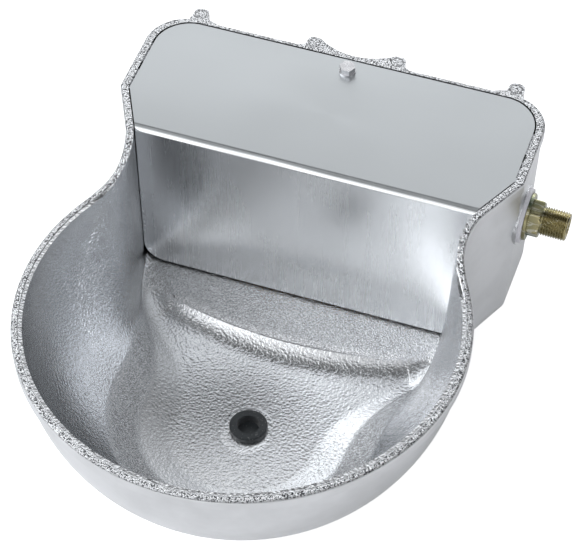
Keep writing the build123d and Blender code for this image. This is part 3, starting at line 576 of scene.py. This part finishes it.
def nipple_points(look):
    """Grid of the inlet nipple: a profile of (distance, radius) turned round the inlet axis.

    On the thread the radius is the crest less the thread depth times a rounded tooth of
    (distance / pitch - angle / full turn). On the hexagon it is the half flats over the cosine of
    the angle from the middle of a flat, held under a chamfer cone.
    """
    turn = np.linspace(0.0, 2 * np.pi, POINTS_AROUND, endpoint=False)[None, :]
    rows = int(round((THREAD_END - THREAD_START) / look.thread_pitch * ROWS_PER_TURN))
    thread = np.linspace(THREAD_END, THREAD_START + 0.0012, rows)
    back = np.linspace(FLANGE_START, BACK_END, BACK_ROWS)
    hexed = (THREAD_START, THREAD_START - 0.0001, THREAD_START - 0.0008, THREAD_START - 0.0016,
             HEX_START + 0.0004, HEX_START)
    inner = np.linspace(BACK_END, THREAD_END - 0.0006, BORE_ROWS)[1:-1]
    # corners are doubled closely, so that they read as crisp but not as knife edges
    mouth = ((THREAD_END - 0.0006, BORE), (THREAD_END - 0.0003, BORE + 0.0001),
             (THREAD_END, BORE + 0.0006), (THREAD_END, CREST - ENTRY))
    flange = ((HEX_START, SHOULDER), (HEX_START, FLANGE - 0.0005),
              (HEX_START - 0.0002, FLANGE - 0.0001), (HEX_START - 0.0006, FLANGE),
              (FLANGE_START + 0.0004, FLANGE), (FLANGE_START, FLANGE - 0.0004),
              (FLANGE_START, CREST))
    profile = (
        (PLAIN, mouth),
        (THREADED, [(distance, CREST) for distance in thread]),
        (PLAIN, ((THREAD_START + 0.0009, NECK), (THREAD_START, NECK))),
        (HEXAGONAL, [(distance, 0.0) for distance in hexed]),
        (PLAIN, flange),
        (THREADED, [(distance, CREST) for distance in back]),
        (PLAIN, ((BACK_END, CREST - ENTRY), (BACK_END, BORE))),
        (PLAIN, [(distance, BORE) for distance in inner]),
    )
    grid = np.array([(kind, *place) for kind, places in profile for place in places])
    kind, distance, radius = (column[:, None] for column in grid.T)
    tooth = np.abs(((distance / look.thread_pitch - turn / (2 * np.pi)) % 1.0) * 2.0 - 1.0)
    rounded = np.clip((tooth - 0.14) / 0.72, 0.0, 1.0)
    cut = CREST - look.thread_depth * rounded
    for from_end in (THREAD_END - distance, distance - BACK_END):
        faded = 1.0 - np.clip(from_end / LEAD_IN, 0.0, 1.0)
        cut = np.minimum(cut, CREST - look.thread_depth * 1.05 * faded)
    off_flat = (turn + look.hexagon_turn + np.pi / 6) % (np.pi / 3) - np.pi / 6
    flats = HALF_FLATS / np.cos(off_flat)
    chamfer = CHAMFER_EDGE + np.clip(THREAD_START - distance, 0.0, 1.0) * CHAMFER_SLOPE
    sides = np.minimum(flats, np.minimum(chamfer, HALF_CORNERS))
    radius = np.where(kind == THREADED, cut, np.where(kind == HEXAGONAL, sides, radius))
    across = Vector((0.0, 1.0, 0.0))
    ring = (np.cos(turn)[..., None] * np.array(across)
            + np.sin(turn)[..., None] * np.array(OUTWARD.cross(across)))
    centre = np.array(INLET_PLACE) + distance[..., None] * np.array(OUTWARD)
    return centre + radius[..., None] * ring


# ---------------------------------------------------------------------------------------------
# Settings
# ---------------------------------------------------------------------------------------------

def a_length(name, description, default, low, high, precision=4):
    """A setting for a length in metres."""
    return FloatProperty(name=name, description=description, default=default, min=low, max=high,
                         unit="LENGTH", precision=precision)


def a_number(name, description, default, high):
    """A setting for a plain number from 0 up."""
    return FloatProperty(name=name, description=description, default=default, min=0.0, max=high)


def a_roughness(description, default):
    """A setting for a roughness."""
    return FloatProperty(name="Roughness", description=description, default=default,
                         min=0.02, max=1.0, subtype="FACTOR")


def a_colour(name, description, red, green, blue):
    """A setting for a colour."""
    return FloatVectorProperty(name=name, description="Colour of " + description, size=4,
                               default=(red, green, blue, 1.0), min=0.0, max=1.0, subtype="COLOR")


class CastingLook(PropertyGroup):
    """Sizes and colours of the cast bowl's skin."""

    dimple_size: a_length("Dimple Size", "Width of one dimple of the cast skin",
                          0.0020, 0.0005, 0.01)
    dimple_depth: a_length("Dimple Depth", "Depth of the cast skin's relief",
                           0.00034, 0.0, 0.003, 5)
    grain_size: a_length("Grain Size", "Size of the fine sand grain", 0.0008, 0.0001, 0.003, 5)
    sand_relief: a_number("Sand Relief", "Relief of the sandy rim and ledge, against the dimples",
                          2.0, 6.0)
    dish_reach: a_length("Dish Reach", "How far from the drain the floor is dished",
                         0.045, 0.001, 0.2)
    dish_depth: a_length("Dish Depth", "How deep the dish round the drain is", 0.006, 0.0, 0.05)
    lean: a_number("Lean", "How far the low corners are rounded towards facing up", 1.3, 5.0)
    roughness: a_roughness("How matt the inside is", 0.18)
    metal: a_colour("Metal", "the bare aluminium", 0.80, 0.81, 0.83)
    oxide: a_colour("Oxide", "the skin inside and on the rim", 0.61, 0.62, 0.635)
    rim_dark: a_colour("Rim Specks", "the dark specks on the rim", 0.03, 0.03, 0.035)


class SheetLook(PropertyGroup):
    """Sizes and colours of the folded stainless cover."""

    line_width: a_length("Line Width", "Width of one brushing line", 0.00045, 0.0001, 0.002, 5)
    line_depth: a_length("Line Depth", "Depth of the brushing lines", 0.0000018, 0.0, 0.0005, 6)
    sheet_wave: a_length("Sheet Wave", "How far the sheet rolls out of flat", 0.0035, 0.0, 0.02)
    roughness: a_roughness("How matt the sheet is", 0.24)
    steel: a_colour("Steel", "the sheet", 0.84, 0.855, 0.87)
    # painted shade: a darker copy of the steel for the lid, which is the same sheet
    lid: a_colour("Lid", "the duller lid", 0.53, 0.555, 0.57)


class FittingLook(PropertyGroup):
    """Sizes and colours of the inlet, its washers and the fasteners."""

    thread_pitch: a_length("Thread Pitch", "Distance from thread to thread",
                           0.001814, 0.0005, 0.004, 6)
    thread_depth: a_length("Thread Depth", "Crest to root of the thread", 0.00116, 0.0001, 0.003, 5)
    hexagon_turn: FloatProperty(
        name="Hexagon Turn", description="How far the inlet's hexagon was screwed round",
        default=math.radians(26.0), min=0.0, max=math.pi / 3, subtype="ANGLE")
    brass: a_colour("Brass", "clean brass", 0.40, 0.35, 0.19)
    tarnish: a_colour("Tarnish", "brass gone dull", 0.12, 0.165, 0.115)
    zinc: a_colour("Zinc", "the plated fasteners", 0.66, 0.66, 0.68)
    nylon: a_colour("Nylon", "the outer washer", 0.93, 0.91, 0.96)


class PlasticLook(PropertyGroup):
    """Colours of the moulded plastics and rubbers."""

    rubber: a_colour("Black Rubber", "the drain plug and the piston's seal", 0.016, 0.019, 0.022)
    valve: a_colour("Valve", "the valve body and piston", 0.80, 0.81, 0.78)
    lever: a_colour("Lever", "the float lever", 0.05, 0.13, 0.34)
    float_body: a_colour("Float", "the float", 0.80, 0.34, 0.05)


class StageLook(PropertyGroup):
    """Floor and soft panels."""

    floor: a_colour("Floor", "the floor", 0.74, 0.74, 0.745)
    lift: a_number("Floor Lift", "How far the floor is lifted to white where it is seen", 0.75, 2.0)
    mirrored: a_number("Mirrored Lift", "The same lift as metal and glass show it", 0.1, 2.0)
    panel: a_colour("Panel Colour", "the soft panels", 0.97, 0.985, 1.0)
    panels: a_number("Panels", "Strength of all the soft panels together", 1.0, 5.0)


LOOKS = (("bowl_casting_look", CastingLook), ("bowl_sheet_look", SheetLook),
         ("bowl_fitting_look", FittingLook), ("bowl_plastic_look", PlasticLook),
         ("bowl_stage_look", StageLook))


# ---------------------------------------------------------------------------------------------
# Operators
# ---------------------------------------------------------------------------------------------

# the patchy shades that go with the settings' colours
ZINC_SHADE = (0.42, 0.42, 0.45, 1.0)
PIN_SHADE = (0.45, 0.45, 0.46, 1.0)
NYLON_SHADE = (0.86, 0.85, 0.9, 1.0)
GREY_RUBBER, GREY_RUBBER_SHADE = (0.10, 0.10, 0.11, 1.0), (0.06, 0.06, 0.07, 1.0)
SEAL_SHADE = (0.05, 0.05, 0.055, 1.0)
PLUG_SHADE = (0.024, 0.03, 0.034, 1.0)
VALVE_SHADE = (0.68, 0.70, 0.68, 1.0)
LEVER_SHADE = (0.04, 0.1, 0.26, 1.0)
FLOAT_SHADE = (0.66, 0.26, 0.04, 1.0)
STRAINER_WIRE, STRAINER_PITCH = (0.68, 0.67, 0.62, 1.0), 0.0009


class BOWL_OT_casting(Operator):
    """Dress the cast bowl with its tank"""

    bl_idname = "drinking_bowl.casting"
    bl_label = "Cast Bowl"

    def execute(self, context):
        wear_finish(cast_aluminium(context.scene.bowl_casting_look), "bowl_casting")
        return {"FINISHED"}


class BOWL_OT_cover(Operator):
    """Dress the folded stainless cover"""

    bl_idname = "drinking_bowl.cover"
    bl_label = "Cover"

    def execute(self, context):
        wear_finish(brushed_sheet(context.scene.bowl_sheet_look), "cover_sheet")
        return {"FINISHED"}


class BOWL_OT_cover_bolt(Operator):
    """Dress the bolt and washer that hold the cover"""

    bl_idname = "drinking_bowl.cover_bolt"
    bl_label = "Cover Bolt"

    def execute(self, context):
        look = context.scene.bowl_fitting_look
        plated = turned_metal("zinc_steel_finish", tuple(look.zinc), ZINC_SHADE, 0.2,
                              COVER_BOLT_PLACE, COVER_BOLT_TURN)
        wear_finish(plated, "cover_bolt", "cover_bolt_washer")
        return {"FINISHED"}


class BOWL_OT_inlet(Operator):
    """Make the threaded nipple and dress the inlet's washers, nut and strainer"""

    bl_idname = "drinking_bowl.inlet"
    bl_label = "Inlet"

    def execute(self, context):
        look = context.scene.bowl_fitting_look
        brass = turned_metal("brass_finish", tuple(look.brass), tuple(look.tarnish), 0.2,
                             INLET_PLACE, ALONG_X, depth=0.000003)
        mesh = grid_mesh("threaded_nipple", nipple_points(look), closed=True)
        nipple = new_piece("threaded_nipple", mesh, "tank", brass, hard_degrees=32.0)
        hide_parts("inlet_nipple")
        wear_finish(brass, "lock_nut")
        nylon = moulded("nylon_finish", tuple(look.nylon), NYLON_SHADE, 0.38)
        wear_finish(nylon, "outer_washer")
        rubber = moulded("grey_rubber_finish", GREY_RUBBER, GREY_RUBBER_SHADE, 0.6, sheen=0.2)
        wear_finish(rubber, "inner_washer")
        strainer = woven_wire("strainer_mesh_finish", STRAINER_WIRE, STRAINER_PITCH)
        wear_finish(strainer, "inlet_strainer")
        return {"FINISHED"}


class BOWL_OT_float_valve(Operator):
    """Dress the valve body, its seat, piston, seal and pins"""

    bl_idname = "drinking_bowl.float_valve"
    bl_label = "Float Valve"

    def execute(self, context):
        look, metals = context.scene.bowl_plastic_look, context.scene.bowl_fitting_look
        valve = moulded("valve_plastic_finish", tuple(look.valve), VALVE_SHADE, 0.42)
        wear_finish(valve, "valve_body", "valve_piston")
        for node in ("lever_pin", "split_pin"):
            pin = turned_metal(node + "_finish", tuple(metals.zinc), PIN_SHADE, 0.28,
                               PIN_PLACE, PIN_TURN)
            wear_finish(pin, node)
        brass = turned_metal("seat_brass_finish", tuple(metals.brass), tuple(metals.tarnish), 0.25,
                             INLET_PLACE, ALONG_X)
        wear_finish(brass, "valve_seat")
        seal = moulded("seal_rubber_finish", tuple(look.rubber), SEAL_SHADE, 0.6, sheen=0.2)
        wear_finish(seal, "piston_seal")
        return {"FINISHED"}


class BOWL_OT_float(Operator):
    """Dress the lever, rod, nuts and float"""

    bl_idname = "drinking_bowl.float"
    bl_label = "Float and Lever"

    def execute(self, context):
        look, metals = context.scene.bowl_plastic_look, context.scene.bowl_fitting_look
        lever = moulded("lever_plastic_finish", tuple(look.lever), LEVER_SHADE, 0.4)
        wear_finish(lever, "lever_arm")
        hollow = moulded("float_plastic_finish", tuple(look.float_body), FLOAT_SHADE, 0.45)
        wear_finish(hollow, "float_body")
        rod = turned_metal("rod_finish", tuple(metals.zinc), PIN_SHADE, 0.25, ROD_PLACE, ROD_TURN)
        wear_finish(rod, "float_rod", "float_nuts")
        return {"FINISHED"}


class BOWL_OT_drain_plug(Operator):
    """Dress the rubber plug in the drain"""

    bl_idname = "drinking_bowl.drain_plug"
    bl_label = "Drain Plug"

    def execute(self, context):
        look = context.scene.bowl_plastic_look
        rubber = moulded("black_rubber_finish", tuple(look.rubber), PLUG_SHADE, 0.42,
                         grain=0.0006, sheen=0.3)
        wear_finish(rubber, "drain_plug")
        return {"FINISHED"}


class BOWL_OT_stage(Operator):
    """Set up the floor, the soft panels and the camera"""

    bl_idname = "drinking_bowl.stage"
    bl_label = "Stage"

    def execute(self, context):
        look = context.scene.bowl_stage_look
        make_floor(look)
        make_world(look)
        make_camera()
        context.scene.view_settings.view_transform = "Standard"
        return {"FINISHED"}


# ---------------------------------------------------------------------------------------------
# Stage
# ---------------------------------------------------------------------------------------------

FLOOR_GAP, FLOOR_SIDE, FLOOR_POINTS = 0.0005, 14.0, 9
WHITE = (1.0, 1.0, 1.0, 1.0)

# soft panels round the bowl: (azimuth from the back towards the inlet side, elevation, strength)
SOFT_PANELS = ((0, 8, 3.2), (180, 8, 1.6), (252, 8, 5.2), (324, 8, 2.5), (20, 33, 0.75),
               (100, 33, 0.9), (140, 33, 0.3), (220, 33, 2.9), (260, 33, 4.2), (340, 33, 1.8),
               (60, 58, 0.3), (120, 58, 0.5), (180, 58, 0.9), (240, 58, 1.1))
PANEL_FOCUS = 18.0

CAMERA_PLACE = (0.36074, -1.18595, 1.16480)
CAMERA_AHEAD = (-0.21886, 0.630075, -0.745054)
CAMERA_UP = (-0.246857, 0.702972, 0.667002)
CAMERA_LENS, CAMERA_SENSOR, CAMERA_NEAR, CAMERA_FAR = 145.609, 36.0, 0.05, 50.0


def make_floor(look):
    """A wide pale floor just under the bowl, lifted to white where it is seen."""
    line = np.linspace(-FLOOR_SIDE / 2, FLOOR_SIDE / 2, FLOOR_POINTS)
    x, y = np.meshgrid(line, line)
    points = np.stack([x, y, np.full_like(x, CAD_BOX[0][2] - FLOOR_GAP)], -1)
    mesh = grid_mesh("studio_floor", points, closed=False)
    floor = new_object("studio_floor", mesh)
    material = bpy.data.materials.new("floor_finish")
    material.use_nodes = True
    tree = material.node_tree
    tree.nodes.clear()
    matt = put(tree, "ShaderNodeBsdfDiffuse", {"Color": tuple(look.floor)})
    path = tree.nodes.new("ShaderNodeLightPath").outputs
    mirror = sums(tree, "ADD", path["Is Glossy Ray"], path["Is Transmission Ray"], clamp=True)
    in_metal = product(tree, mirror, look.mirrored)
    seen = sums(tree, "MULTIPLY_ADD", path["Is Camera Ray"], look.lift, in_metal)
    lift = put(tree, "ShaderNodeEmission", {"Color": WHITE, "Strength": seen})
    both = put(tree, "ShaderNodeAddShader", {0: matt.outputs[0], 1: lift.outputs[0]})
    put(tree, "ShaderNodeOutputMaterial", {"Surface": both.outputs[0]})
    mesh.materials.append(material)


def make_world(look):
    """A dark studio with soft panels: each is its strength times a power of a cosine."""
    world = bpy.data.worlds.new("studio_sky")
    bpy.context.scene.world = world
    world.use_nodes = True
    tree = world.node_tree
    tree.nodes.clear()
    way = tree.nodes.new("ShaderNodeTexCoord").outputs["Generated"]
    total = 0.0
    for azimuth, elevation, strength in SOFT_PANELS:
        turn, rise = math.radians(azimuth), math.radians(elevation)
        middle = (math.cos(rise) * math.sin(turn), math.cos(rise) * math.cos(turn), math.sin(rise))
        near = put(tree, "ShaderNodeVectorMath", {0: way, 1: middle},
                   operation="DOT_PRODUCT").outputs["Value"]
        glow = sums(tree, "POWER", sums(tree, "MAXIMUM", near, 0.0), PANEL_FOCUS)
        total = sums(tree, "MULTIPLY_ADD", glow, strength, total)
    light = put(tree, "ShaderNodeBackground",
                {"Color": tuple(look.panel), "Strength": product(tree, total, look.panels)})
    put(tree, "ShaderNodeOutputWorld", {"Surface": light.outputs[0]})


def make_camera():
    """Camera at its place, looking down on the bowl from the front right."""
    data = bpy.data.cameras.new("view_camera")
    data.sensor_fit = "HORIZONTAL"
    data.sensor_width = CAMERA_SENSOR
    data.lens = CAMERA_LENS
    data.clip_start, data.clip_end = CAMERA_NEAR, CAMERA_FAR
    camera = new_object("view_camera", data)
    ahead = Vector(CAMERA_AHEAD).normalized()
    right = ahead.cross(Vector(CAMERA_UP)).normalized()
    turn = Matrix((right, right.cross(ahead), -ahead)).transposed().to_4x4()
    camera.matrix_world = Matrix.Translation(CAMERA_PLACE) @ turn
    bpy.context.scene.camera = camera


# ---------------------------------------------------------------------------------------------
# Panel and registering
# ---------------------------------------------------------------------------------------------

STEPS = (BOWL_OT_stage, BOWL_OT_casting, BOWL_OT_cover, BOWL_OT_cover_bolt, BOWL_OT_inlet,
         BOWL_OT_float_valve, BOWL_OT_float, BOWL_OT_drain_plug)


class BOWL_PT_panel(Panel):
    """Buttons for each group of pieces, with the settings above them"""

    bl_idname = "BOWL_PT_panel"
    bl_label = "Drinking Bowl"
    bl_space_type = "VIEW_3D"
    bl_region_type = "UI"
    bl_category = "Drinking Bowl"

    def draw(self, context):
        column = self.layout.column()
        for name, look in LOOKS:
            for setting in look.__annotations__:
                column.prop(getattr(context.scene, name), setting)
        for step in STEPS:
            column.operator(step.bl_idname)


CLASSES = tuple(look for name, look in LOOKS) + STEPS + (BOWL_PT_panel,)


def register():
    for made in CLASSES:
        bpy.utils.register_class(made)
    for name, look in LOOKS:
        setattr(bpy.types.Scene, name, PointerProperty(type=look))


def unregister():
    for name, look in LOOKS:
        delattr(bpy.types.Scene, name)
    for made in reversed(CLASSES):
        bpy.utils.unregister_class(made)


def main():
    """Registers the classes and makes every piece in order."""
    register()
    make_shared_groups()
    for step in STEPS:
        family, name = step.bl_idname.split(".")
        getattr(getattr(bpy.ops, family), name)()


if __name__ == "__main__":
    main()
